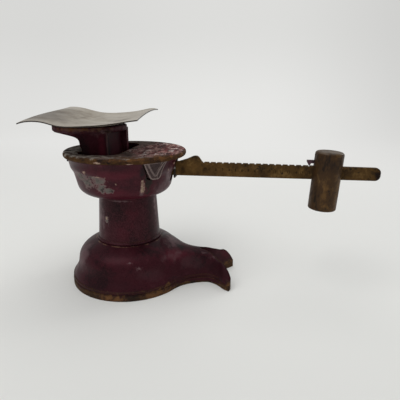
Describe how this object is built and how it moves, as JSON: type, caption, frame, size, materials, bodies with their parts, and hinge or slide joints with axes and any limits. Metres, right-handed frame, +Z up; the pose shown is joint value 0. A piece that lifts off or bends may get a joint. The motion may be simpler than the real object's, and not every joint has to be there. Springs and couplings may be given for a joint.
{
  "type": "torsion prescription balance",
  "caption": "Single-beam torsion scale on a cast pedestal foot: warped square sheet plate on a raised platform, notched brass beam with a sliding cylindrical poise.",
  "frame": {"origin": "on the floor, at the centre of the round foot, on the column's axis", "axes": "+X along the beam from the platform to the poise, -Y towards the operator, +Z up"},
  "size_m": [0.3323, 0.1416, 0.1763],
  "materials": {
    "maroon_enamel": "worn gloss enamel",
    "dark_steel": "oxidised",
    "black_iron": "worn black",
    "band_steel": "dull bright",
    "aged_brass": "aged",
    "bronzed_brass": "mottled dark bronze",
    "lead": "dull",
    "sheet_steel": "dull tinned sheet"
  },
  "bodies": {
    "stand": {"base_casting": "maroon_enamel", "column": "maroon_enamel", "bowl": "maroon_enamel", "cover": "maroon_enamel", "cover_screws": "dark_steel", "tie_bolt": "dark_steel", "tie_washer": "dark_steel", "tie_nut": "dark_steel", "front_lug": "black_iron", "rear_lug": "black_iron", "lug_screws": "dark_steel", "fulcrum_band": "band_steel", "fulcrum_clamps": "aged_brass", "fulcrum_clamp_screws": "dark_steel", "beam_guide": "band_steel", "stay_bracket": "aged_brass", "stay_bracket_screws": "dark_steel", "stay_pin": "band_steel"},
    "beam_body": {"beam": "aged_brass", "load_lever": "black_iron", "beam_rivets": "aged_brass", "load_band": "band_steel", "load_clamps": "aged_brass", "load_clamp_screws": "dark_steel"},
    "platform": {"pedestal": "maroon_enamel", "check_stem": "aged_brass", "stem_screws": "dark_steel", "stem_pin": "band_steel"},
    "weighing_plate": {"plate": "sheet_steel"},
    "stay": {"stay_link": "aged_brass"},
    "poise_body": {"poise": "bronzed_brass", "poise_core": "lead", "poise_plug": "bronzed_brass", "pawl_pin": "band_steel"},
    "pawl_body": {"pawl": "band_steel"}
  },
  "joints": [
    {"name": "beam_tilt", "type": "hinge", "parent": "stand", "child": "beam_body", "pos_m": [0.038, 0, 0.121], "axis": [0, -1, 0], "range_deg": [0, 4]},
    {"name": "platform_level", "type": "hinge", "parent": "beam_body", "child": "platform", "pos_m": [-0.0204, 0, 0.121], "axis": [0, -1, 0], "range_deg": [-4, 0]},
    {"name": "stay_swing", "type": "hinge", "parent": "stand", "child": "stay", "pos_m": [0.029, 0, 0.109], "axis": [0, -1, 0], "range_deg": [0, 4]},
    {"name": "plate_lift", "type": "slide", "parent": "platform", "child": "weighing_plate", "axis": [0, 0, 1], "range_m": [0, 0.05]},
    {"name": "poise_slide", "type": "slide", "parent": "beam_body", "child": "poise_body", "axis": [1, 0, 0], "range_m": [-0.1016, 0]},
    {"name": "pawl_lift", "type": "hinge", "parent": "poise_body", "child": "pawl_body", "pos_m": [0.1989, 0, 0.1319], "axis": [0, 1, 0], "range_deg": [-2.5, 18]}
  ],
  "couplings": [
    {"joint": "platform_level", "follows": "beam_tilt", "ratio": -1},
    {"joint": "stay_swing", "follows": "beam_tilt", "ratio": 1}
  ]
}
